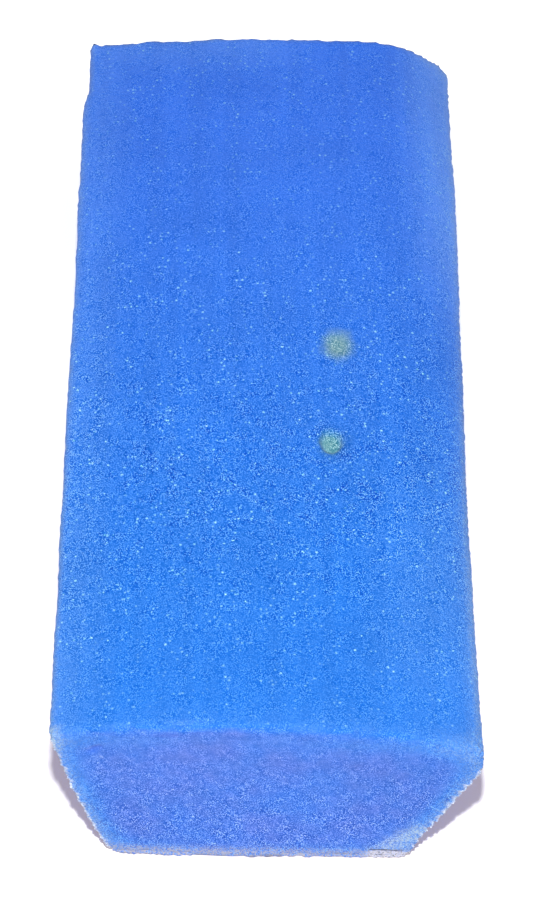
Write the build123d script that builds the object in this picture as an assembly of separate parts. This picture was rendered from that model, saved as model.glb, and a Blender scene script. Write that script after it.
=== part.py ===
"""Hand-size block of fine-cell blue foam, cut by hand from a larger slab.

One solid. Its section changes a little from end to end: a softly crowned top, a rolled
right-hand shoulder that deepens towards the far end, a bowed left flank and a nearly
straight right one, both undercut, so that the flat base is narrower than the top.
"""

import os

from build123d import *

# Overall size in millimetres: length along Y, width along X, height along Z from the base.
length = 128.0
width = 53.5
height = 26.7

# The near end was cut a little out of square, so its left corner stands back from its right one.
near_end_setback = 1.4

# The crest of the crowned top runs along the block, left of its middle line.
crest_offset = 3.0

# Left side: how far the top edge lies below the crest at each end, and the long flank under it.
near_left_drop = 2.2
far_left_drop = 1.5
base_inset_left = 7.1
left_flank_bow = 0.65

# Right side: the shoulder leaves the crown and rolls down to a short upright wall, with a
# bevelled flank from the wall's foot to the base.
near_shoulder_inset = 10.0
near_shoulder_drop = 1.4
near_right_drop = 4.2
far_shoulder_inset = 12.5
far_shoulder_drop = 0.4
far_right_drop = 6.6
right_wall_height = 3.6
base_inset_right = 9.85
right_flank_bow = 0.2

# The flanks run on a little below the base, and one flat cut takes that off.
base_trim = 0.5

# Foam has no keen edges: radii of the long edges, and of the edges round the two cut ends.
left_top_radius = 0.9
wall_top_radius = 1.5
wall_foot_radius = 2.0
base_edge_radius = 0.8
end_edge_radius = 0.6

# A sliver is missing from the left top edge beside the far end, with a short run into it.
sliver_length = 10.0
sliver_depth = 0.8
sliver_run = 3.0
cut_overrun = 5.0


def section_corners(left_drop, shoulder_inset, shoulder_drop, right_drop):
    """Corners of the section at one end, seen from the near side: X to the right and Z up."""
    half = width / 2
    wall_top = height - right_drop
    return {
        "base_left": Vector(base_inset_left - half, -base_trim),
        "base_right": Vector(half - base_inset_right, -base_trim),
        "wall_foot": Vector(half, wall_top - right_wall_height),
        "wall_top": Vector(half, wall_top),
        "shoulder": Vector(half - shoulder_inset, height - shoulder_drop),
        "crest": Vector(-crest_offset, height),
        "left_top": Vector(-half, height - left_drop),
    }


def section_face(corner):
    """The section at one end: crown and shoulder run into each other without a ridge."""
    crown = TangentArc(corner["crest"], corner["shoulder"], tangent=(1, 0))
    outline = [
        crown,
        TangentArc(corner["shoulder"], corner["wall_top"], tangent=crown % 1),
        Line(corner["wall_top"], corner["wall_foot"]),
        SagittaArc(corner["wall_foot"], corner["base_right"], right_flank_bow),
        Line(corner["base_right"], corner["base_left"]),
        SagittaArc(corner["base_left"], corner["left_top"], left_flank_bow),
        TangentArc(corner["crest"], corner["left_top"], tangent=(-1, 0)),
    ]
    return make_face(outline)


def foam_body():
    """The two end sections joined by straight long edges, cut flat below, every edge softened."""
    near_plane = Plane(
        origin=(0, (near_end_setback - length) / 2, 0),
        x_dir=(width, -near_end_setback, 0),
        z_dir=(-near_end_setback, -width, 0),
    )
    far_plane = Plane(origin=(0, length / 2, 0), x_dir=(1, 0, 0), z_dir=(0, -1, 0))
    near = section_corners(
        near_left_drop, near_shoulder_inset, near_shoulder_drop, near_right_drop
    )
    far = section_corners(far_left_drop, far_shoulder_inset, far_shoulder_drop, far_right_drop)
    body = loft([near_plane * section_face(near), far_plane * section_face(far)], ruled=True)
    body = split(body, bisect_by=Plane.XY, keep=Keep.TOP)

    long_edge_radii = {
        "left_top": left_top_radius,
        "wall_top": wall_top_radius,
        "wall_foot": wall_foot_radius,
        "base_left": base_edge_radius,
        "base_right": base_edge_radius,
    }
    for name, radius in long_edge_radii.items():
        near_end = near_plane.from_local_coords(near[name])
        far_end = far_plane.from_local_coords(far[name])
        edge = body.edges().sort_by_distance((near_end + far_end) / 2)[0]
        body = fillet(edge, radius)

    ends = body.faces().sort_by(Axis.Y)
    return fillet(ends[0].edges() + ends[-1].edges(), end_edge_radius)


def missing_sliver():
    """What was shaved off the left top edge beside the far end, straight down."""
    outside = -width / 2 - cut_overrun
    shaved = sliver_depth - width / 2
    past_end = length / 2 + cut_overrun
    start = length / 2 - sliver_length
    plan = Polyline(
        (outside, past_end),
        (shaved, past_end),
        (shaved, start),
        (-width / 2, start - sliver_run),
        (outside, start - sliver_run),
        close=True,
    )
    return extrude(make_face(plan), amount=height)


foam_block = foam_body() - missing_sliver()

os.makedirs("parts", exist_ok=True)
export_step(foam_block, "parts/foam_block.step")
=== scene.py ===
"""The foam block as it looks: a soft piece over the solid, a white floor, soft light, a camera."""

import math

import bmesh
import bpy
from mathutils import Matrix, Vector, noise


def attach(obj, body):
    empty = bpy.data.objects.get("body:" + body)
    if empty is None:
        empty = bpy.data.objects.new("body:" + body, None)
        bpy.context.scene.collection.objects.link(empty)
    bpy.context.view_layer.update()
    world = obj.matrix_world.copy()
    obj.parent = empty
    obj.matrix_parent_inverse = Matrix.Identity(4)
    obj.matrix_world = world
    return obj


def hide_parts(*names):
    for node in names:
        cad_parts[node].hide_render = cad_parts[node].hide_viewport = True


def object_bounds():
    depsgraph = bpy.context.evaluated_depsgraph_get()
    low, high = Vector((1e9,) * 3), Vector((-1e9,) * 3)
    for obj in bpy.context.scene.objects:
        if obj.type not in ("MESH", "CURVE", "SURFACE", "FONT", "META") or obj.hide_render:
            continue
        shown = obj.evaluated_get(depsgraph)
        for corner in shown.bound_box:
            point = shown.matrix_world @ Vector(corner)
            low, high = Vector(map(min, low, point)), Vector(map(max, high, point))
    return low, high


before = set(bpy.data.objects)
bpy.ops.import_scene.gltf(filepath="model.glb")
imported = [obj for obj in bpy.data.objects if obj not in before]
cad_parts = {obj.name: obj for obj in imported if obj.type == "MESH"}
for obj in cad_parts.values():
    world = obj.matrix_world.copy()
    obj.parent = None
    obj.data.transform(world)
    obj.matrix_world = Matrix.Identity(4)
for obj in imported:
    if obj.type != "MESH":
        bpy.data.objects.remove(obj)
cad_low, cad_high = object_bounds()

MM = 0.001

# The photograph's frame, in pixels, and the camera that sees the block as it does there.
PHOTO_WIDTH = 554
PHOTO_HEIGHT = 900
SENSOR_WIDTH = 36.0
FOCAL_PIXELS = 3398.6
CAMERA_ELEVATION = math.radians(48)
CAMERA_DISTANCE = 444.5 * MM
CAMERA_AIM = Vector((1.42, -17.53, 26.67)) * MM
CAMERA_CLIP = 10 * MM

# Key lamp: its aim, its height, how far to the right it stands for each unit of reach, its reach,
# width and power. The white room round it gives the rest of the light.
KEY_AIM = Vector((0, -20, 20)) * MM
KEY_ELEVATION = math.radians(58)
KEY_ASIDE = 0.003
KEY_REACH = 460 * MM
KEY_WIDTH = 15 * MM
KEY_POWER = 2.08
ROOM_LIGHT = 0.285

# White floor: half its width, its gap under the block, and its paper. The card glows to lift it to
# paper white; the glow is least round the block, where its shadow is, and painted warm by the near
# end to tint that shadow.
FLOOR_HALF_WIDTH = 2000 * MM
FLOOR_GAP = 0.05 * MM
PAPER = "#FAFAFA"
LIFT_REACH = (70 * MM, 130 * MM)
LIFT_LEAST = 0.226
WARM_REACH = (35 * MM, 90 * MM)
WARM_SHADOW = "#FFD1B4"
PLAIN_SHADOW = "#FFFFFF"

# Mesh: the distance below which vertices of the solid are one, the spacing of the even mesh, into
# how many it is cut along edges and at the small marks of the near end, and how many smoothing
# passes find the broad band and the narrow line of an edge.
SAME_PLACE = 0.001 * MM
VERTEX_SPACING = 0.65 * MM
EDGE_CUTS = 2
NEAR_END_CUTS = 5
SMOOTHING = 0.5
BAND_PASSES = 64
LINE_PASSES = 4

# What is cut finer: an edge from this share of fuzz, or less by the near end, above the foot, and a
# margin round each small mark, in millimetres or as a share of its size.
NEAR_END_DEPTH = 3 * MM
FINER_FUZZ = 0.3
FINEST_FUZZ = 0.2
FINER_ABOVE = 2 * MM
SLIT_MARGIN = 1
NICK_WIDENED = 1.3
DIMPLE_MARGIN = 0.6

# Surfaces. Each pair is where a kind of surface starts and where it is full: a place along an
# axis, a height over the smoothed shape, or a facing, which is 1 where it faces along the axis.
BELOW_TOP = (25.5 * MM, 22.5 * MM)
BAND_HEIGHT = (0.02 * MM, 0.9 * MM)
LINE_HEIGHT = (0.03 * MM, 0.2 * MM)
WALL_FACING = (0.6, 0.85)
UNDERCUT_FACING = (0.05, -0.1)
FLANK_FACING = (0.15, 0.4)
BROW_FACING_NEAR = (0.15, 0.4)
BROW_FACING_UP = (-0.1, 0.1)
END_FACING = (0.5, 0.9)
TOP_FACING = (0.5, 0.9)
BASE_FACING = (0.7, 0.95)
NEAR_END_FACING = (0.2, 0.6)

# Painted light on the right side, weaker by the near end, and wear of the edge lines, stronger
# on the left.
RIGHT_SIDE_FACING = (0.3, 0.7)
RIGHT_SIDE_ALONG = (20 * MM, -50 * MM)
RIGHT_SIDE_LIGHT = 0.66
NEAR_END_FADE = (cad_low.y + 3 * MM, cad_low.y + 16 * MM)
RIGHT_SIDE_AT_NEAR_END = 0.4
LEFT_SIDE = (10 * MM, -10 * MM)
RIGHT_LINE_WEAR = 0.72

# Paler parts of the top: painted light on the rolled shoulder towards the far end, where it faces
# right, and a strip by each edge.
SHOULDER_FACING = (0.18, 0.66)
SHOULDER_ALONG = (2 * MM, 28 * MM)
STRIP_FACING = (0.1, 0.4)
LEFT_STRIP = (-17 * MM, -26 * MM)
LEFT_STRIP_SHARE = 0.7
NEAR_STRIP = (cad_low.y + 6 * MM, cad_low.y + 1 * MM)
NEAR_STRIP_SHARE = 0.3
FAR_STRIP = (cad_high.y - 10 * MM, cad_high.y)
FAR_STRIP_ACROSS = (10 * MM, -4 * MM)
FAR_STRIP_SHARE = 0.9
RIGHT_STRIP = (11 * MM, 19 * MM)
RIGHT_STRIP_ALONG = (-8 * MM, -38 * MM)
RIGHT_STRIP_SHARE = 0.5

# Hand-cut surface: wavelength and height of each unevenness.
LONG_WAVE = (24 * MM, 0.22 * MM)
SHORT_WAVE = (8 * MM, 0.09 * MM)
EDGE_TEAR = (1.5 * MM, 0.22 * MM)
EDGE_FUZZ = (0.45 * MM, 0.22 * MM)

# Tufts on the undercut edges of the near end: wavelength and height, how much of the wave stands
# out besides its crests, where the rim that carries them starts, and which of them get white, a
# painted highlight.
TUFT = (0.16 * MM, 0.26 * MM)
TUFT_BESIDES = 0.35
TUFT_RIM = (0.38, 0.8)
TUFT_ABOVE_FOOT = (0.3 * MM, 2.5 * MM)
TUFT_WHITE = (-0.6, -0.1)

# The right side is a little hollow along its length: where most, over what length, and how deep.
HOLLOW_MIDDLE = -27 * MM
HOLLOW_LENGTH = 90 * MM
HOLLOW_DEPTH = 0.35 * MM
HOLLOW_FACING = (0.2, 0.8)

# Foot of the near end: its torn edge flares out, here more and there less, and its right corner
# spreads sideways. Its grey reaches a little higher than the flare.
FOOT_HEIGHT = 0.8 * MM
FOOT_FLARE = 0.72 * MM
FLARE_MEAN = 0.7
FLARE_SWING = 0.6
FOOT_GREY = (2.8 * MM, 0.6 * MM)
CORNER_HEIGHT = 7 * MM
CORNER_LENGTH = 10 * MM
CORNER_ACROSS = (10 * MM, 19 * MM)
CORNER_SPREAD = 0.9 * MM

# The far left corner of the top ends in a small torn tip: its place, reach, and way out.
TIP_PLACE = Vector((-25.9, 64.0, 25.2)) * MM
TIP_REACH = 1.4 * MM
TIP_OUT = Vector((0.0, 0.6, 0.6)) * MM

# Stains on the top, each in a shallow dimple, longer than wide by the stretch, in millimetres:
# place, radius of the dimple, its depth and how much of the radius its wall takes, its colour, the
# strength of that, how far it is full and how far it reaches, and the strength and reach of the
# painted shade round it, a darker ring for the shaded near wall of the dimple, which lies a little
# to the right and nearer. Stains hold on down the wall of the dimple, so depth counts less than
# width by the sink.
STAIN_STRETCH = 1.35
STAIN_SINK = 0.3
STAIN_BLOTCH, STAIN_BLOTCH_NOISE = 1.3 * MM, (0.2, 0.8)
STAIN_RAGGED = (0.85, 1.15)
PAINTED_DIMPLE_SHADE = "#2C5F9C"
PAINTED_DIMPLE_SHADE_SHIFT = Vector((0.35, -0.5))
STAINS = [
    {
        "place": (9.6, 1.9), "dimple": 1.9, "depth": 0.25, "wall_share": 0.7,
        "tint": "#84A6A4", "strength": 0.88, "core": 0.6, "reach": 3.0,
        "painted_shade": 0.3, "painted_shade_reach": 3.5,
    },
    {
        "place": (8.5, -15.7), "dimple": 1.65, "depth": 0.6, "wall_share": 0.35,
        "tint": "#7EAEA8", "strength": 0.82, "core": 0.8, "reach": 2.0,
        "painted_shade": 0.75, "painted_shade_reach": 3.4,
    },
]

# Marks on the near end, as X and Z in millimetres: a slit over a torn lip by the right foot, how
# it wanders and tapers, the frayed corner round it, how ragged that is and how far back it goes,
# and a few longish marks, each with its slant in degrees.
SLIT_LEFT, SLIT_RIGHT, SLIT_HEIGHT = 12.7, 17.0, 1.7
SLIT_HALF_GAP = 0.3
SLIT_WANDER, SLIT_WANDER_LENGTH = 0.12, 1.5
SLIT_LEFT_TAPER, SLIT_RIGHT_TAPER = 0.6, 0.8
SLIT_DEPTH = 0.75 * MM
LIP_LEFT_TAPER = 0.6
LIP_PAST_SLIT = (1.8, 0.3)
FRAYED_FROM = Vector((14.3, 1.6))
FRAYED_TO = Vector((19.0, 6.2))
FRAYED_REACH = 2.5
FRAYED_RAGGED, FRAYED_PATCH = 0.9, 1.6
FRAYED_BACK = (cad_low.y + 5 * MM, cad_low.y + 2 * MM)
NICK_DEPTH = 0.3 * MM
MARK_FULL = 0.1
END_MARKS = {
    "nick": {"middle": (-21.0, 21.9), "along": 1.8, "across": 0.9, "slant": 37},
    "scratch": {"middle": (-20.46, 20.3), "along": 0.9, "across": 0.25, "slant": 36},
    "smudge": {"middle": (-11.8, 25.0), "along": 2.8, "across": 0.7, "slant": -3},
    "pale_corner": {"middle": (-26.0, 23.4), "along": 1.9, "across": 3.0, "slant": 0},
}

# Foam cells are 0.4 mm apart, and stand out a little. The struts between them are about 0.05 mm
# thick, too fine to show, so they are drawn as coarse as 0.17 mm. Painted glints, for the light
# that pale films catch, span larger cells, 0.6 mm apart. The foam is a little less dull in its
# pores.
CELL_PITCH = 0.4 * MM
STRUT_PITCH = 0.17 * MM
PAINTED_GLINT_PITCH = 0.6 * MM
CELL_RELIEF, RELIEF_STRENGTH = 0.2 * MM, 0.3
DULL_DISTANCE, DULLNESS = (0.2, 0.8), (1.0, 0.8)

# Noise lies mostly between these two values, whatever it draws.
NOISE_LOW, NOISE_HIGH = 0.3, 0.7

# Dye: its colours at the near and far end, what the faded strips pale to, the painted light on the
# rolled shoulder, and how much, and the clouds and long streaks in it, by size and by how much they
# swing.
DYE_NEAR, DYE_FAR = "#2F7BDF", "#4078ED"
DYE_ALONG = (-50 * MM, 55 * MM)
FADED, FADED_SHARE = "#84B4FF", 0.22
SHOULDER_LIGHT, SHOULDER_LIGHT_SHARE = "#6296FF", 0.95
CLOUD_SIZE, CLOUD_SWING = 14 * MM, 0.05
STREAK_WIDTH, STREAK_LENGTH, STREAK_SWING = 2.4 * MM, 70 * MM, 0.045

# Lilac bloom on the cut ends: its colour, its patches, and how much of it is left where a patch is
# thin, in the broad band and on the line of an edge, and towards the left.
BLOOM = "#5C79D4"
BLOOM_PATCH = 6 * MM
BLOOM_PATCH_NOISE = (0.3, 0.65)
BLOOM_THIN = 0.55
BLOOM_BAND, BLOOM_IN_BAND = 0.4, 0.1
BLOOM_ON_LINE = 0.4
BLOOM_LEFT = (-20 * MM, -6 * MM)
BLOOM_AT_LEFT = 0.92

# Painted glints: the smallest and largest as shares of their pitch, where their full brightness
# ends, how rare the bright ones are, the drifts they lie in, and what is left at the near and far
# end.
PAINTED_GLINT = "#B0ECFF"
PAINTED_GLINT_RADIUS = (0.12, 0.46)
PAINTED_GLINT_MIDDLE = 0.04
PAINTED_GLINT_RARITY = 1.9
DRIFT_SIZE = 3 * MM
DRIFT_NOISE = (0.43, 0.58)
DRIFT_THIN = 0.14
PAINTED_GLINTS_FROM_NEAR, PAINTED_GLINTS_AT_NEAR = (-62 * MM, -42 * MM), 0.5
PAINTED_GLINTS_TO_FAR, PAINTED_GLINTS_AT_FAR = (-5 * MM, 35 * MM), 0.52

# Grain: how much the pores darken, how sharp the struts' ends are, what both do to red, green and
# blue, and the patches that make it stronger and weaker. Along the top, each stretch in
# millimetres multiplies it from one share to another, and up the cut ends it weakens. Those are
# woolly too. Red, green and blue keep a least value, and work in steps that are even to the eye.
PORE_DISTANCE, PORE_SWING = (0.25, 0.8), 0.07
STRUT_DISTANCE, STRUT_SHARPNESS = (0.2, 0.8), 2.5
GRAIN_SWING = (0.72, 0.59, 0.5)
GRAIN_MIDDLE = (-0.25, -0.16, -0.105)
GRAIN_PATCH = 1.8 * MM
GRAIN_PATCH_NOISE, GRAIN_PATCH_SHARES = (0.35, 0.65), (0.55, 1.4)
GRAIN_ON_TOP = [
    {"along": (-63, -22), "shares": (0.42, 0.9)},
    {"along": (-22, 16), "shares": (0.78, 0.45)},
    {"along": (16, 55), "shares": (1.0, 0.68)},
]
GRAIN_UP_THE_END, GRAIN_END_SHARES = (6 * MM, 23 * MM), (0.74, 0.32)
WOOL_SIZE, WOOL_SWING = 0.9 * MM, 0.04
WOOL_COLOUR = (1.0, 0.7, 0.55)
LEAST_COLOUR, MOST_COLOUR = (0.05, 0.1, 0.2), (1, 1, 1)
EYE_GAMMA = 2.2

# Wear, marks and some painted light and shade, from the lowest to the topmost: the attribute that
# says where, the colour, and its least and greatest share, which varies from strut to strut. A
# share below 0 counts as 0, so only some of the struts in the lip are dark.
WEAR = [
    # Wear on the edge lines, and painted light on the right side.
    ("edge_wear_and_right_light", "#86B4FC", 0.0, 0.62),
    ("edge_band", "#A8C4D4", 0.05, 0.42),
    ("pale_corner", "#C8DCD0", 0.15, 0.5),
    ("smudge", "#4660CC", 0.1, 0.5),
    ("frayed", "#D2E2DC", 0.06, 0.6),
    # The fringe's white is a painted highlight on the torn tufts.
    ("fringe", "#F2F4FA", 0.35, 1.0),
    ("foot", "#B6AEB2", 0.05, 1.0),
    ("lip", "#DAD4DC", 0.6, 1.0),
    ("lip", "#46586E", -1.5, 1.0),
    # The slit's dark is painted shade in its groove.
    ("slit", "#40385A", 0.85, 1.0),
    ("nick", "#2C58D0", 0.2, 0.5),
    ("scratch", "#A9C4FF", 0.5, 0.8),
]


def linear(hex_colour):
    """An sRGB hex colour as linear red, green, blue and alpha."""
    channels = [int(hex_colour[i:i + 2], 16) / 255 for i in (1, 3, 5)]
    curve = [c / 12.92 if c <= 0.04045 else ((c + 0.055) / 1.055) ** 2.4 for c in channels]
    return (*curve, 1.0)


def add_node(owner, kind, inputs=None, **settings):
    """Adds a node with its settings; an input is a value, another node or one of its outputs."""
    tree = owner.node_tree
    node = tree.nodes.new(kind)
    for name, value in settings.items():
        setattr(node, name, value)
    for key, value in (inputs or {}).items():
        sockets = [socket for socket in node.inputs if socket.enabled]
        if isinstance(key, int):
            target = sockets[key]
        else:
            target = next(socket for socket in sockets if socket.name == key)
        if isinstance(value, bpy.types.Node):
            value = next(output for output in value.outputs if output.enabled)
        if isinstance(value, bpy.types.NodeSocket):
            tree.links.new(value, target)
        else:
            target.default_value = value
    return node


def smooth_step(low, high, value):
    """0 below low, 1 above high, and an even rise between; low may be the larger."""
    share = min(max((value - low) / (high - low), 0.0), 1.0)
    return share * share * (3 - 2 * share)


# The soft piece


def copy_of_solid(node, name):
    """A copy of a solid's mesh, its loose triangles merged, as a new object."""
    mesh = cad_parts[node].data.copy()
    shape = bmesh.new()
    shape.from_mesh(mesh)
    bmesh.ops.remove_doubles(shape, verts=shape.verts, dist=SAME_PLACE)
    shape.to_mesh(mesh)
    shape.free()
    mesh.materials.clear()
    piece = bpy.data.objects.new(name, mesh)
    bpy.context.scene.collection.objects.link(piece)
    return piece


def even_out(piece, spacing):
    """Gives the piece an even mesh, with vertices about that far apart."""
    remesh = piece.modifiers.new("even mesh", "REMESH")
    remesh.mode = "VOXEL"
    remesh.voxel_size = spacing
    evaluated = piece.evaluated_get(bpy.context.evaluated_depsgraph_get())
    rough = piece.data
    piece.data = bpy.data.meshes.new_from_object(evaluated)
    piece.modifiers.clear()
    bpy.data.meshes.remove(rough)


def stand_proud(shape, passes):
    """How far each vertex stands out of a smoothed copy of the shape: most at convex edges."""
    soft = shape.copy()
    for _ in range(passes):
        bmesh.ops.smooth_vert(
            soft, verts=soft.verts, factor=SMOOTHING,
            use_axis_x=True, use_axis_y=True, use_axis_z=True,
        )
    pairs = zip(shape.verts, soft.verts)
    heights = [(hard.co - blunt.co).dot(hard.normal) for hard, blunt in pairs]
    soft.free()
    return heights


def mark_surfaces(shape):
    """Writes down what each part of the surface is, for its shape and its colour."""
    layers = shape.verts.layers.float
    names = ("edge_band", "edge_line", "fuzz", "fringe", "edge_wear_and_right_light", "end_cut", "faded", "shoulder_light")
    for name in names:
        layers.new(name)
    edge_band, edge_line, fuzz, fringe = [layers[name] for name in names[:4]]
    edge_wear_and_right_light, end_cut, faded, shoulder_light = [layers[name] for name in names[4:]]
    shape.normal_update()
    band_heights = stand_proud(shape, BAND_PASSES)
    line_heights = stand_proud(shape, LINE_PASSES)
    for vert, band_height, line_height in zip(shape.verts, band_heights, line_heights):
        x, y, z = vert.co
        facing = vert.normal
        vert[edge_band] = smooth_step(*BAND_HEIGHT, band_height) * smooth_step(*BELOW_TOP, z)
        vert[edge_line] = smooth_step(*LINE_HEIGHT, line_height)
        vert[fuzz] = max(vert[edge_line], smooth_step(*WALL_FACING, facing.x))
        undercut = smooth_step(*UNDERCUT_FACING, facing.z)
        undercut *= smooth_step(*FLANK_FACING, abs(facing.x))
        vert[fringe] = vert[edge_line] * undercut
        near_brow = smooth_step(*BROW_FACING_NEAR, -facing.y)
        near_brow *= smooth_step(*BROW_FACING_UP, facing.z)
        off_near_end = RIGHT_SIDE_AT_NEAR_END + (1 - RIGHT_SIDE_AT_NEAR_END) * smooth_step(*NEAR_END_FADE, y)
        # Paler where the side faces right: painted light.
        right_side = smooth_step(*RIGHT_SIDE_FACING, facing.x) * off_near_end
        right_side *= smooth_step(*RIGHT_SIDE_ALONG, y)
        line_wear = RIGHT_LINE_WEAR + (1 - RIGHT_LINE_WEAR) * smooth_step(*LEFT_SIDE, x)
        wear_and_light = max(line_wear * vert[edge_line], RIGHT_SIDE_LIGHT * right_side)
        vert[edge_wear_and_right_light] = wear_and_light * (1 - near_brow)
        vert[end_cut] = smooth_step(*END_FACING, abs(facing.y))
        # Paler where the shoulder faces right: painted light.
        vert[shoulder_light] = smooth_step(*SHOULDER_FACING, facing.x) * smooth_step(*SHOULDER_ALONG, y)
        left_strip = smooth_step(*LEFT_STRIP, x)
        near_strip = smooth_step(*NEAR_STRIP, y)
        far_strip = smooth_step(*FAR_STRIP, y) * smooth_step(*FAR_STRIP_ACROSS, x)
        right_strip = smooth_step(*RIGHT_STRIP, x) * off_near_end
        right_strip *= smooth_step(*RIGHT_STRIP_ALONG, y)
        strips = max(
            LEFT_STRIP_SHARE * left_strip,
            NEAR_STRIP_SHARE * near_strip,
            FAR_STRIP_SHARE * far_strip,
            RIGHT_STRIP_SHARE * right_strip,
        )
        vert[faded] = strips * smooth_step(*STRIP_FACING, facing.z)


def by_near_end(place):
    """Whether a place is on the near end or just behind its edge."""
    return place.y < cad_low.y + NEAR_END_DEPTH


def has_small_mark(place):
    """Whether a place has a mark too small for the even mesh: slit, nick, scratch or dimple."""
    right_of_slit_start = place.x > (SLIT_LEFT - SLIT_MARGIN) * MM
    by_slit = right_of_slit_start and place.z < (SLIT_HEIGHT + SLIT_MARGIN) * MM
    small_marks = (END_MARKS["nick"], END_MARKS["scratch"])
    by_nick = any(mark_share(mark, place, NICK_WIDENED) > 0 for mark in small_marks)
    on_top = place.z > cad_high.z / 2
    by_stain = on_top and any(
        stain_distance(stain, place) < stain["dimple"] + DIMPLE_MARGIN for stain in STAINS
    )
    return (by_near_end(place) and (by_slit or by_nick)) or by_stain


def refine(shape, chosen, cuts):
    """Cuts the mesh finer between the chosen vertices."""
    edges = [
        edge for edge in shape.edges if edge.verts[0] in chosen and edge.verts[1] in chosen
    ]
    bmesh.ops.subdivide_edges(shape, edges=edges, cuts=cuts, use_grid_fill=True)
    shape.normal_update()


def refine_detail(shape):
    """Cuts the mesh finer along the torn edges, and finest at the near end and small marks."""
    fuzz = shape.verts.layers.float["fuzz"]
    finest = set()
    finer = set()
    for vert in shape.verts:
        torn_near_end = by_near_end(vert.co) and vert[fuzz] > FINEST_FUZZ
        if has_small_mark(vert.co) or torn_near_end:
            finest.add(vert)
        elif vert[fuzz] > FINER_FUZZ and vert.co.z > FINER_ABOVE:
            finer.add(vert)
    refine(shape, finest, NEAR_END_CUTS)
    refine(shape, finer, EDGE_CUTS)


def stain_distance(stain, place):
    """How far a place on the top is from a stain's middle, in millimetres of its width."""
    away = Vector((place.x / MM, place.y / MM)) - Vector(stain["place"])
    return math.hypot(away.x, away.y / STAIN_STRETCH)


def dimple_depth(place):
    """Depth of the stained dimples at a place on the top."""
    depth = 0.0
    for stain in STAINS:
        share = stain_distance(stain, place) / stain["dimple"]
        depth += stain["depth"] * MM * smooth_step(1.0, 1.0 - stain["wall_share"], share)
    return depth


def slit_share(place):
    """1 in the middle of the slit on the near end, and 0 outside it."""
    x, z = place.x / MM, place.z / MM
    wander = SLIT_WANDER * noise.noise(Vector((x / SLIT_WANDER_LENGTH, 0, 0)))
    across = smooth_step(SLIT_HALF_GAP, 0.0, abs(z - SLIT_HEIGHT - wander))
    along = smooth_step(SLIT_LEFT, SLIT_LEFT + SLIT_LEFT_TAPER, x)
    along *= smooth_step(SLIT_RIGHT, SLIT_RIGHT - SLIT_RIGHT_TAPER, x)
    return across * along


def lip_share(place):
    """1 on the torn lip under the slit, and 0 outside it."""
    x, z = place.x / MM, place.z / MM
    along = smooth_step(SLIT_LEFT - LIP_LEFT_TAPER, SLIT_LEFT + LIP_LEFT_TAPER, x)
    along *= smooth_step(SLIT_RIGHT + LIP_PAST_SLIT[0], SLIT_RIGHT + LIP_PAST_SLIT[1], x)
    return along * smooth_step(SLIT_HEIGHT, SLIT_HEIGHT - SLIT_HALF_GAP, z)


def frayed_share(place):
    """1 along the frayed corner beside the slit, fading away from it in patches."""
    spot = Vector((place.x / MM, place.z / MM))
    run = FRAYED_TO - FRAYED_FROM
    share = min(max((spot - FRAYED_FROM).dot(run) / run.length_squared, 0.0), 1.0)
    away = (spot - FRAYED_FROM - run * share).length
    patch = Vector((spot.x / FRAYED_PATCH, 0, spot.y / FRAYED_PATCH))
    away += FRAYED_RAGGED * noise.noise(patch)
    return smooth_step(FRAYED_REACH, 0.0, away)


def mark_share(mark, place, widen=1.0):
    """1 in the middle of a longish mark on the near end, and 0 outside it."""
    away = Vector((place.x / MM, place.z / MM)) - Vector(mark["middle"])
    slant = math.radians(mark["slant"])
    along = away.dot(Vector((math.cos(slant), math.sin(slant)))) / (mark["along"] * widen)
    across = away.dot(Vector((-math.sin(slant), math.cos(slant)))) / (mark["across"] * widen)
    return smooth_step(1.0, MARK_FULL, math.hypot(along, across))


def unevenness(place, edge, fuzz):
    """Height of the hand-cut surface at a place, torn and fuzzy at an edge."""
    height = noise.noise(place / LONG_WAVE[0]) * LONG_WAVE[1]
    height += noise.noise(place / SHORT_WAVE[0]) * SHORT_WAVE[1]
    height += noise.noise(place / EDGE_TEAR[0]) * EDGE_TEAR[1] * edge
    height += noise.noise(place / EDGE_FUZZ[0]) * EDGE_FUZZ[1] * fuzz
    return height


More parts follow.
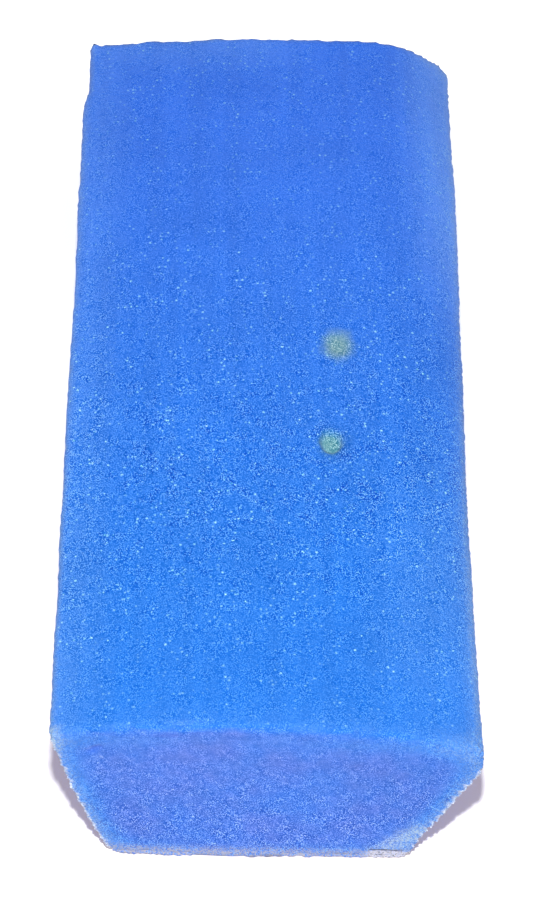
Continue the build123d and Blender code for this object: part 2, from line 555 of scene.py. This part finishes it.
def roughen(shape):
    """Moves the surface to its hand-cut form: waves, torn edges, marks, spread foot, flat base."""
    layers = shape.verts.layers.float
    for name in ("slit", "lip", "frayed", "foot", *END_MARKS):
        layers.new(name)
    slit, lip, frayed, foot = [layers[name] for name in ("slit", "lip", "frayed", "foot")]
    edge_line, fuzz, fringe = [layers[name] for name in ("edge_line", "fuzz", "fringe")]
    normals = [vert.normal.copy() for vert in shape.verts]
    for vert, normal in zip(shape.verts, normals):
        place = vert.co.copy()
        on_top = smooth_step(*TOP_FACING, normal.z)
        on_base = smooth_step(*BASE_FACING, -normal.z)
        on_near_end = smooth_step(*NEAR_END_FACING, -normal.y)
        vert[slit] = slit_share(place) * on_near_end
        vert[lip] = lip_share(place) * on_near_end
        vert[frayed] = frayed_share(place) * smooth_step(*FRAYED_BACK, place.y)
        vert[foot] = smooth_step(*FOOT_GREY, place.z) * on_near_end
        for name, mark in END_MARKS.items():
            vert[layers[name]] = mark_share(mark, place) if by_near_end(place) else 0.0
        vert.co += normal * unevenness(place, vert[edge_line], vert[fuzz]) * (1 - on_base)
        if by_near_end(place):
            tuft = noise.noise(place / TUFT[0])
            above_foot = smooth_step(*TUFT_ABOVE_FOOT, place.z)
            rim = smooth_step(*TUFT_RIM, vert[fringe])
            vert.co += normal * max(tuft + TUFT_BESIDES, 0.0) * TUFT[1] * rim * above_foot
            # Where the tufts get their white, a painted highlight.
            vert[fringe] = rim * smooth_step(*TUFT_WHITE, tuft)
        vert.co += TIP_OUT * smooth_step(TIP_REACH, 0.0, (place - TIP_PLACE).length)
        vert.co.z -= dimple_depth(place) * on_top
        vert.co.y += vert[slit] * SLIT_DEPTH + vert[layers["nick"]] * NICK_DEPTH
        flare = smooth_step(FOOT_HEIGHT, 0.0, place.z) * FOOT_FLARE
        unevenly = FLARE_MEAN + FLARE_SWING * noise.noise(place / SHORT_WAVE[0])
        vert.co.y -= flare * on_near_end * unevenly
        spread = smooth_step(CORNER_HEIGHT, 0.0, place.z) * smooth_step(*CORNER_ACROSS, place.x)
        spread *= smooth_step(cad_low.y + CORNER_LENGTH, cad_low.y, place.y)
        vert.co.x += CORNER_SPREAD * spread
        from_hollow = abs(place.y - HOLLOW_MIDDLE) / (HOLLOW_LENGTH / 2)
        hollow = HOLLOW_DEPTH * smooth_step(1.0, 0.0, from_hollow)
        vert.co.x -= hollow * smooth_step(*HOLLOW_FACING, normal.x)
        vert.co.z = max(vert.co.z, cad_low.z)


def foam_piece():
    """The block's skin: an even mesh of the solid, finer at its small detail, then roughened."""
    piece = copy_of_solid("foam_block", "foam")
    even_out(piece, VERTEX_SPACING)
    shape = bmesh.new()
    shape.from_mesh(piece.data)
    mark_surfaces(shape)
    refine_detail(shape)
    roughen(shape)
    for face in shape.faces:
        face.smooth = True
    shape.to_mesh(piece.data)
    shape.free()
    return piece


# Foam


def blue_foam():
    """Polyurethane foam, dyed right through and cut with a blade, its cells open.

    The eye sees a matt blue with a fine grain of dark pores and pale struts, a few painted glints
    where pale films catch the light, paler edges, a lilac bloom on the cut ends, and white tufts on
    the torn edges, their white a painted highlight.
    """
    foam = bpy.data.materials.new("blue_polyurethane_foam")
    foam.use_nodes = True
    foam.node_tree.nodes.clear()
    place = add_node(foam, "ShaderNodeTexCoord").outputs["Object"]
    cells = add_node(foam, "ShaderNodeTexVoronoi", {"Vector": place, "Scale": 1 / CELL_PITCH})
    struts = add_node(foam, "ShaderNodeTexVoronoi", {"Vector": place, "Scale": 1 / STRUT_PITCH})
    colour = dyed(foam, place)
    # Painted glints, for the light that pale films catch.
    colour = glinting(foam, place, colour)
    colour = stained(foam, place, colour)
    colour = grained(foam, place, cells, struts, colour)
    colour = torn(foam, struts, colour)
    relief = add_node(
        foam, "ShaderNodeBump",
        {
            "Height": cells.outputs["Distance"],
            "Strength": RELIEF_STRENGTH,
            "Distance": CELL_RELIEF,
        },
    )
    dullness = add_node(
        foam, "ShaderNodeMapRange",
        {
            "Value": cells.outputs["Distance"],
            "From Min": DULL_DISTANCE[0],
            "From Max": DULL_DISTANCE[1],
            "To Min": DULLNESS[0],
            "To Max": DULLNESS[1],
        },
    )
    surface = add_node(
        foam, "ShaderNodeBsdfPrincipled",
        {
            "Base Color": colour,
            "Roughness": dullness,
            "IOR": 1.45,
            "Specular IOR Level": 0.2,
            "Sheen Weight": 0.08,
            "Sheen Roughness": 0.5,
            "Normal": relief,
        },
    )
    add_node(foam, "ShaderNodeOutputMaterial", {"Surface": surface})
    return foam


def dyed(foam, place):
    """Azure, deeper towards the far end, pale by the edges, painted light on the rolled shoulder,
    lilac on the ends, with clouds.
    """
    axes = add_node(foam, "ShaderNodeSeparateXYZ", {0: place})
    along = add_node(
        foam, "ShaderNodeMapRange",
        {"Value": axes.outputs["Y"], "From Min": DYE_ALONG[0], "From Max": DYE_ALONG[1]},
        interpolation_type="SMOOTHSTEP",
    )
    colour = add_node(
        foam, "ShaderNodeMix",
        {"Factor": along, "A": linear(DYE_NEAR), "B": linear(DYE_FAR)},
        data_type="RGBA",
    )
    faded = add_node(foam, "ShaderNodeAttribute", attribute_name="faded").outputs["Fac"]
    shoulder_light = add_node(foam, "ShaderNodeAttribute", attribute_name="shoulder_light").outputs["Fac"]
    for part, share, tint in ((faded, FADED_SHARE, FADED), (shoulder_light, SHOULDER_LIGHT_SHARE, SHOULDER_LIGHT)):
        pallor = add_node(foam, "ShaderNodeMath", {0: part, 1: share}, operation="MULTIPLY")
        colour = add_node(
            foam, "ShaderNodeMix",
            {"Factor": pallor, "A": colour, "B": linear(tint)},
            data_type="RGBA",
        )
    patches = add_node(
        foam, "ShaderNodeTexNoise",
        {"Vector": place, "Scale": 1 / BLOOM_PATCH, "Detail": 2.0},
    )
    bloom = add_node(
        foam, "ShaderNodeMapRange",
        {
            "Value": patches,
            "From Min": BLOOM_PATCH_NOISE[0],
            "From Max": BLOOM_PATCH_NOISE[1],
            "To Min": BLOOM_THIN,
            "To Max": 1.0,
        },
    )
    edge_band = add_node(foam, "ShaderNodeAttribute", attribute_name="edge_band").outputs["Fac"]
    off_band = add_node(
        foam, "ShaderNodeMapRange",
        {
            "Value": edge_band,
            "From Min": 0.0,
            "From Max": BLOOM_BAND,
            "To Min": 1.0,
            "To Max": BLOOM_IN_BAND,
        },
    )
    edge_line = add_node(foam, "ShaderNodeAttribute", attribute_name="edge_line").outputs["Fac"]
    off_line = add_node(
        foam, "ShaderNodeMapRange",
        {"Value": edge_line, "To Min": 1.0, "To Max": BLOOM_ON_LINE},
    )
    end_cut = add_node(foam, "ShaderNodeAttribute", attribute_name="end_cut").outputs["Fac"]
    from_left = add_node(
        foam, "ShaderNodeMapRange",
        {
            "Value": axes.outputs["X"],
            "From Min": BLOOM_LEFT[0],
            "From Max": BLOOM_LEFT[1],
            "To Min": BLOOM_AT_LEFT,
            "To Max": 1.0,
        },
    )
    for share in (off_band, off_line, end_cut, from_left):
        bloom = add_node(foam, "ShaderNodeMath", {0: bloom, 1: share}, operation="MULTIPLY")
    colour = add_node(
        foam, "ShaderNodeMix",
        {"Factor": bloom, "A": colour, "B": linear(BLOOM)},
        data_type="RGBA",
    )
    clouds = add_node(
        foam, "ShaderNodeTexNoise",
        {"Vector": place, "Scale": 1 / CLOUD_SIZE, "Detail": 2.0},
    )
    drawn_out = add_node(
        foam, "ShaderNodeMapping",
        {"Vector": place, "Scale": (1 / STREAK_WIDTH, 1 / STREAK_LENGTH, 1 / STREAK_WIDTH)},
    )
    streaks = add_node(
        foam, "ShaderNodeTexNoise",
        {"Vector": drawn_out, "Scale": 1.0, "Detail": 1.0},
    )
    for pattern, swing in ((clouds, CLOUD_SWING), (streaks, STREAK_SWING)):
        shade = add_node(
            foam, "ShaderNodeMapRange",
            {
                "Value": pattern,
                "From Min": NOISE_LOW,
                "From Max": NOISE_HIGH,
                "To Min": 1 - swing,
                "To Max": 1 + swing,
            },
        )
        colour = add_node(
            foam, "ShaderNodeMix",
            {"Factor": 1.0, "A": colour, "B": shade},
            data_type="RGBA", blend_type="MULTIPLY",
        )
    return colour


def glinting(foam, place, colour):
    """Painted glints where pale films over a few larger cells catch the light, in drifts, most of
    them on the middle of the top.
    """
    axes = add_node(foam, "ShaderNodeSeparateXYZ", {0: place})
    painted_glints = add_node(foam, "ShaderNodeTexVoronoi", {"Vector": place, "Scale": 1 / PAINTED_GLINT_PITCH})
    chance = add_node(foam, "ShaderNodeSeparateColor", {0: painted_glints.outputs["Color"]})
    radius = add_node(
        foam, "ShaderNodeMapRange",
        {"Value": chance.outputs["Green"], "To Min": PAINTED_GLINT_RADIUS[0], "To Max": PAINTED_GLINT_RADIUS[1]},
    )
    painted_glint = add_node(
        foam, "ShaderNodeMapRange",
        {
            "Value": painted_glints.outputs["Distance"],
            "From Min": PAINTED_GLINT_MIDDLE,
            "From Max": radius,
            "To Min": 1.0,
            "To Max": 0.0,
        },
        interpolation_type="SMOOTHSTEP",
    )
    drifts = add_node(
        foam, "ShaderNodeTexNoise",
        {"Vector": place, "Scale": 1 / DRIFT_SIZE, "Detail": 1.0},
    )
    drift = add_node(
        foam, "ShaderNodeMapRange",
        {
            "Value": drifts,
            "From Min": DRIFT_NOISE[0],
            "From Max": DRIFT_NOISE[1],
            "To Min": DRIFT_THIN,
            "To Max": 1.0,
        },
    )
    from_near = add_node(
        foam, "ShaderNodeMapRange",
        {
            "Value": axes.outputs["Y"],
            "From Min": PAINTED_GLINTS_FROM_NEAR[0],
            "From Max": PAINTED_GLINTS_FROM_NEAR[1],
            "To Min": PAINTED_GLINTS_AT_NEAR,
            "To Max": 1.0,
        },
        interpolation_type="SMOOTHSTEP",
    )
    to_far = add_node(
        foam, "ShaderNodeMapRange",
        {
            "Value": axes.outputs["Y"],
            "From Min": PAINTED_GLINTS_TO_FAR[0],
            "From Max": PAINTED_GLINTS_TO_FAR[1],
            "To Min": 1.0,
            "To Max": PAINTED_GLINTS_AT_FAR,
        },
        interpolation_type="SMOOTHSTEP",
    )
    end_cut = add_node(foam, "ShaderNodeAttribute", attribute_name="end_cut").outputs["Fac"]
    off_ends = add_node(foam, "ShaderNodeMath", {0: 1.0, 1: end_cut}, operation="SUBTRACT")
    clear = add_node(
        foam, "ShaderNodeMath", {0: chance.outputs["Green"], 1: PAINTED_GLINT_RARITY}, operation="POWER"
    )
    for share in (clear, drift, from_near, to_far, off_ends):
        painted_glint = add_node(foam, "ShaderNodeMath", {0: painted_glint, 1: share}, operation="MULTIPLY")
    return add_node(
        foam, "ShaderNodeMix",
        {"Factor": painted_glint, "A": colour, "B": linear(PAINTED_GLINT)},
        data_type="RGBA",
    )


def stained(foam, place, colour):
    """Yellow-green stains, with painted shade round their dimples, blotchy and fading outwards."""
    blotches = add_node(
        foam, "ShaderNodeTexNoise",
        {"Vector": place, "Scale": 1 / STAIN_BLOTCH, "Detail": 2.0},
    )
    ragged = add_node(
        foam, "ShaderNodeMapRange",
        {
            "Value": blotches,
            "From Min": STAIN_BLOTCH_NOISE[0],
            "From Max": STAIN_BLOTCH_NOISE[1],
            "To Min": STAIN_RAGGED[0],
            "To Max": STAIN_RAGGED[1],
        },
    )
    layers = []
    for stain in STAINS:
        middle = Vector(stain["place"])
        # A darker ring, a little nearer and to the right: painted shade of the dimple's near wall.
        layers.append((PAINTED_DIMPLE_SHADE, stain["painted_shade"], middle + PAINTED_DIMPLE_SHADE_SHIFT, 0.0, stain["painted_shade_reach"]))
        layers.append((stain["tint"], stain["strength"], middle, stain["core"], stain["reach"]))
    for tint, strength, (x, y), core, reach in layers:
        middle = (x * MM, y * MM, cad_high.z)
        away = add_node(
            foam, "ShaderNodeVectorMath", {0: place, 1: middle}, operation="SUBTRACT"
        )
        away = add_node(
            foam, "ShaderNodeVectorMath",
            {0: away, 1: (1, 1 / STAIN_STRETCH, STAIN_SINK)},
            operation="MULTIPLY",
        )
        away = add_node(foam, "ShaderNodeVectorMath", {0: away}, operation="LENGTH")
        away = away.outputs["Value"]
        away = add_node(foam, "ShaderNodeMath", {0: away, 1: ragged}, operation="MULTIPLY")
        soaked = add_node(
            foam, "ShaderNodeMapRange",
            {
                "Value": away,
                "From Min": core * MM,
                "From Max": reach * MM,
                "To Min": strength,
                "To Max": 0.0,
            },
            interpolation_type="SMOOTHSTEP",
        )
        colour = add_node(
            foam, "ShaderNodeMix",
            {"Factor": soaked, "A": colour, "B": linear(tint)},
            data_type="RGBA",
        )
    return colour


def grained(foam, place, cells, struts, colour):
    """Pale struts and dark pores in stronger and weaker patches, and wool on the cut ends."""
    axes = add_node(foam, "ShaderNodeSeparateXYZ", {0: place})
    pores = add_node(
        foam, "ShaderNodeMapRange",
        {
            "Value": cells.outputs["Distance"],
            "From Min": PORE_DISTANCE[0],
            "From Max": PORE_DISTANCE[1],
            "To Min": -PORE_SWING,
            "To Max": PORE_SWING,
        },
    )
    ends = add_node(
        foam, "ShaderNodeMapRange",
        {
            "Value": struts.outputs["Distance"],
            "From Min": STRUT_DISTANCE[0],
            "From Max": STRUT_DISTANCE[1],
            "To Min": 1.0,
            "To Max": 0.0,
        },
    )
    ends = add_node(foam, "ShaderNodeMath", {0: ends, 1: STRUT_SHARPNESS}, operation="POWER")
    grain = add_node(foam, "ShaderNodeMath", {0: pores, 1: ends}, operation="ADD")
    swing = add_node(
        foam, "ShaderNodeVectorMath",
        {0: grain, 1: GRAIN_SWING, 2: GRAIN_MIDDLE},
        operation="MULTIPLY_ADD",
    )
    patches = add_node(
        foam, "ShaderNodeTexNoise",
        {"Vector": place, "Scale": 1 / GRAIN_PATCH, "Detail": 1.0},
    )
    patchy = add_node(
        foam, "ShaderNodeMapRange",
        {
            "Value": patches,
            "From Min": GRAIN_PATCH_NOISE[0],
            "From Max": GRAIN_PATCH_NOISE[1],
            "To Min": GRAIN_PATCH_SHARES[0],
            "To Max": GRAIN_PATCH_SHARES[1],
        },
    )
    on_top = 1.0
    for stretch in GRAIN_ON_TOP:
        share = add_node(
            foam, "ShaderNodeMapRange",
            {
                "Value": axes.outputs["Y"],
                "From Min": stretch["along"][0] * MM,
                "From Max": stretch["along"][1] * MM,
                "To Min": stretch["shares"][0],
                "To Max": stretch["shares"][1],
            },
        )
        on_top = add_node(foam, "ShaderNodeMath", {0: on_top, 1: share}, operation="MULTIPLY")
    up_the_end = add_node(
        foam, "ShaderNodeMapRange",
        {
            "Value": axes.outputs["Z"],
            "From Min": GRAIN_UP_THE_END[0],
            "From Max": GRAIN_UP_THE_END[1],
            "To Min": GRAIN_END_SHARES[0],
            "To Max": GRAIN_END_SHARES[1],
        },
    )
    end_cut = add_node(foam, "ShaderNodeAttribute", attribute_name="end_cut").outputs["Fac"]
    strength = add_node(
        foam, "ShaderNodeMix", {"Factor": end_cut, "A": on_top, "B": up_the_end}
    )
    strength = add_node(foam, "ShaderNodeMath", {0: strength, 1: patchy}, operation="MULTIPLY")
    wool = add_node(
        foam, "ShaderNodeTexNoise",
        {"Vector": place, "Scale": 1 / WOOL_SIZE, "Detail": 1.0},
    )
    wool = add_node(
        foam, "ShaderNodeMapRange",
        {
            "Value": wool,
            "From Min": NOISE_LOW,
            "From Max": NOISE_HIGH,
            "To Min": -WOOL_SWING,
            "To Max": WOOL_SWING,
        },
    )
    wool = add_node(foam, "ShaderNodeMath", {0: wool, 1: end_cut}, operation="MULTIPLY")
    steps = add_node(foam, "ShaderNodeGamma", {"Color": colour, "Gamma": 1 / EYE_GAMMA})
    for pattern, amount in ((wool, WOOL_COLOUR), (swing, strength)):
        steps = add_node(
            foam, "ShaderNodeVectorMath",
            {0: pattern, 1: amount, 2: steps},
            operation="MULTIPLY_ADD",
        )
    for limit, kept in ((LEAST_COLOUR, "MAXIMUM"), (MOST_COLOUR, "MINIMUM")):
        steps = add_node(foam, "ShaderNodeVectorMath", {0: steps, 1: limit}, operation=kept)
    return add_node(foam, "ShaderNodeGamma", {"Color": steps, "Gamma": EYE_GAMMA})


def torn(foam, struts, colour):
    """A paler line on the edges, white tufts on the undercut ones, their white a painted highlight,
    and the near end's marks, the slit's dark among them a painted shade.
    """
    chance = add_node(foam, "ShaderNodeSeparateColor", {0: struts.outputs["Color"]})
    for name, tint, least, most in WEAR:
        speckle = add_node(
            foam, "ShaderNodeMapRange",
            {"Value": chance.outputs["Blue"], "To Min": least, "To Max": most},
        )
        share = add_node(foam, "ShaderNodeAttribute", attribute_name=name).outputs["Fac"]
        share = add_node(foam, "ShaderNodeMath", {0: share, 1: speckle}, operation="MULTIPLY")
        colour = add_node(
            foam, "ShaderNodeMix",
            {"Factor": share, "A": colour, "B": linear(tint)},
            data_type="RGBA",
        )
    return colour


# Stage


def seen_by_eye(owner):
    """1 where a ray goes straight, by a mirror or through glass to the camera, and 0 for light."""
    ray = add_node(owner, "ShaderNodeLightPath").outputs
    seen = ray["Is Camera Ray"]
    for way in ("Is Glossy Ray", "Is Transmission Ray"):
        seen = add_node(owner, "ShaderNodeMath", {0: seen, 1: ray[way]}, operation="MAXIMUM")
    return seen


def white_card():
    """Matt white card that glows for the eye: paper white, with the block's soft shadow on it,
    where the glow is weaker and painted warm by the near end.
    """
    card = bpy.data.materials.new("white_card")
    card.use_nodes = True
    card.node_tree.nodes.clear()
    paper = add_node(card, "ShaderNodeBsdfDiffuse", {"Color": linear(PAPER)})
    place = add_node(card, "ShaderNodeTexCoord").outputs["Object"]
    away = add_node(card, "ShaderNodeVectorMath", {0: place}, operation="LENGTH")
    lift = add_node(
        card, "ShaderNodeMapRange",
        {
            "Value": away.outputs["Value"],
            "From Min": LIFT_REACH[0],
            "From Max": LIFT_REACH[1],
            "To Min": LIFT_LEAST,
            "To Max": 1.0,
        },
    )
    lift = add_node(card, "ShaderNodeMath", {0: seen_by_eye(card), 1: lift}, operation="MULTIPLY")
    from_near_end = add_node(
        card, "ShaderNodeVectorMath", {0: place, 1: (0, cad_low.y, 0)}, operation="DISTANCE"
    )
    paling = add_node(
        card, "ShaderNodeMapRange",
        {"Value": from_near_end, "From Min": WARM_REACH[0], "From Max": WARM_REACH[1]},
    )
    warmth = add_node(
        card, "ShaderNodeMix",
        {"Factor": paling, "A": linear(WARM_SHADOW), "B": linear(PLAIN_SHADOW)},
        data_type="RGBA",
    )
    glow = add_node(card, "ShaderNodeEmission", {"Color": warmth, "Strength": lift})
    both = add_node(card, "ShaderNodeAddShader", {0: paper, 1: glow})
    add_node(card, "ShaderNodeOutputMaterial", {"Surface": both})
    return card


def floor():
    """A wide white floor just under the block."""
    shape = bmesh.new()
    bmesh.ops.create_grid(shape, x_segments=1, y_segments=1, size=FLOOR_HALF_WIDTH)
    bmesh.ops.translate(shape, verts=shape.verts, vec=(0, 0, cad_low.z - FLOOR_GAP))
    mesh = bpy.data.meshes.new("floor")
    shape.to_mesh(mesh)
    shape.free()
    plane = bpy.data.objects.new("floor", mesh)
    plane.data.materials.append(white_card())
    bpy.context.scene.collection.objects.link(plane)


def key_lamp():
    """A small soft lamp high on the camera's side, turned towards the block."""
    data = bpy.data.lights.new("key", "AREA")
    data.size = KEY_WIDTH
    data.energy = KEY_POWER
    light = bpy.data.objects.new("key", data)
    way = Vector((KEY_ASIDE, -math.cos(KEY_ELEVATION), math.sin(KEY_ELEVATION)))
    light.location = KEY_AIM + way * KEY_REACH
    light.rotation_euler = (KEY_AIM - light.location).to_track_quat("-Z", "Y").to_euler()
    bpy.context.scene.collection.objects.link(light)


def white_room():
    """Even white light from all round, white where the camera sees it."""
    room = bpy.data.worlds.new("white_room")
    room.use_nodes = True
    room.node_tree.nodes.clear()
    strength = add_node(
        room, "ShaderNodeMapRange",
        {"Value": seen_by_eye(room), "To Min": ROOM_LIGHT, "To Max": 1.0},
    )
    sky = add_node(
        room, "ShaderNodeBackground", {"Color": (1, 1, 1, 1), "Strength": strength}
    )
    add_node(room, "ShaderNodeOutputWorld", {"Surface": sky})
    bpy.context.scene.world = room


def camera():
    """The photograph's view: along the block from its near end, well above it."""
    data = bpy.data.cameras.new("camera")
    data.sensor_fit = "AUTO"
    data.sensor_width = SENSOR_WIDTH
    data.lens = FOCAL_PIXELS / max(PHOTO_WIDTH, PHOTO_HEIGHT) * SENSOR_WIDTH
    data.clip_start = CAMERA_CLIP
    eye = bpy.data.objects.new("camera", data)
    back = Vector((0, -math.cos(CAMERA_ELEVATION), math.sin(CAMERA_ELEVATION)))
    eye.location = CAMERA_AIM + back * CAMERA_DISTANCE
    eye.rotation_euler = (-back).to_track_quat("-Z", "Y").to_euler()
    bpy.context.scene.collection.objects.link(eye)
    bpy.context.scene.camera = eye


foam_skin = foam_piece()
foam_skin.data.materials.append(blue_foam())
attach(foam_skin, "root")
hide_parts("foam_block")

floor()
key_lamp()
white_room()
camera()
bpy.context.scene.view_settings.view_transform = "Standard"
